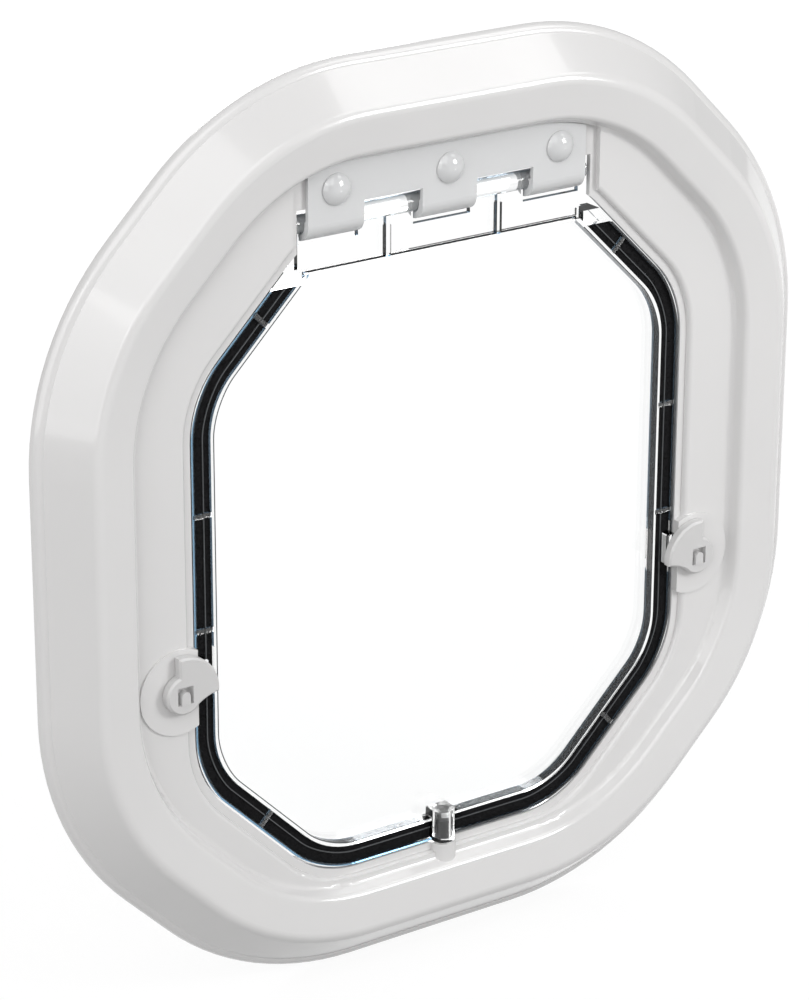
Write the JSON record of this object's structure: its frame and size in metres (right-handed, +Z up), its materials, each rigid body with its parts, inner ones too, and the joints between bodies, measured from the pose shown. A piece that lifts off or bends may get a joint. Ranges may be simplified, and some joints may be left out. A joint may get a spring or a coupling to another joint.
{
  "type": "dog door",
  "caption": "Wall or door leaf pet door: raised octagonal white frame with a clear swinging flap, brush seal, hinge plate, turn locks and a magnetic closer.",
  "frame": {"origin": "middle of the frame's outline on the back plane of the front frame's rim, where the sleeve leaves it through the door leaf", "axes": "+Y through the door away from the room, +Z up, +X across"},
  "size_m": [0.398, 0.0396, 0.416],
  "materials": {
    "frame_plastic": "glossy white moulding",
    "rear_plastic": "glossy white moulding",
    "clear_plastic": "clear moulded plastic",
    "plug_clear": "clear moulded plastic",
    "frosted_plastic": "frosted translucent white",
    "cap_plastic": "glossy white",
    "lock_plastic": "glossy white",
    "brush_pile": "dense black pile",
    "black_magnet": "black ceramic",
    "screw_steel": "zinc plated"
  },
  "bodies": {
    "frame": {"front_frame": "frame_plastic", "rear_frame": "rear_plastic", "hinge_plate": "frosted_plastic", "hinge_screws": "screw_steel", "left_screw_cap": "cap_plastic", "middle_screw_cap": "cap_plastic", "right_screw_cap": "cap_plastic", "frame_magnet": "black_magnet", "frame_screws": "screw_steel", "upper_left_plug": "cap_plastic", "lower_left_plug": "cap_plastic", "upper_right_plug": "cap_plastic", "lower_right_plug": "cap_plastic"},
    "flap": {"flap": "clear_plastic", "left_brush": "brush_pile", "right_brush": "brush_pile", "flap_magnet": "black_magnet", "magnet_plug": "plug_clear"},
    "left_lock": {"left_lock": "lock_plastic"},
    "right_lock": {"right_lock": "lock_plastic"}
  },
  "joints": [
    {"name": "flap_swing", "type": "hinge", "parent": "frame", "child": "flap", "pos_m": [0, -0.0048, 0.141], "axis": [1, 0, 0], "range_deg": [0, 80]},
    {"name": "left_lock_turn", "type": "hinge", "parent": "frame", "child": "left_lock", "pos_m": [-0.138, -0.015, -0.051], "axis": [0, -1, 0], "range_deg": [0, 95]},
    {"name": "right_lock_turn", "type": "hinge", "parent": "frame", "child": "right_lock", "pos_m": [0.138, -0.015, -0.051], "axis": [0, 1, 0], "range_deg": [0, 95]}
  ]
}
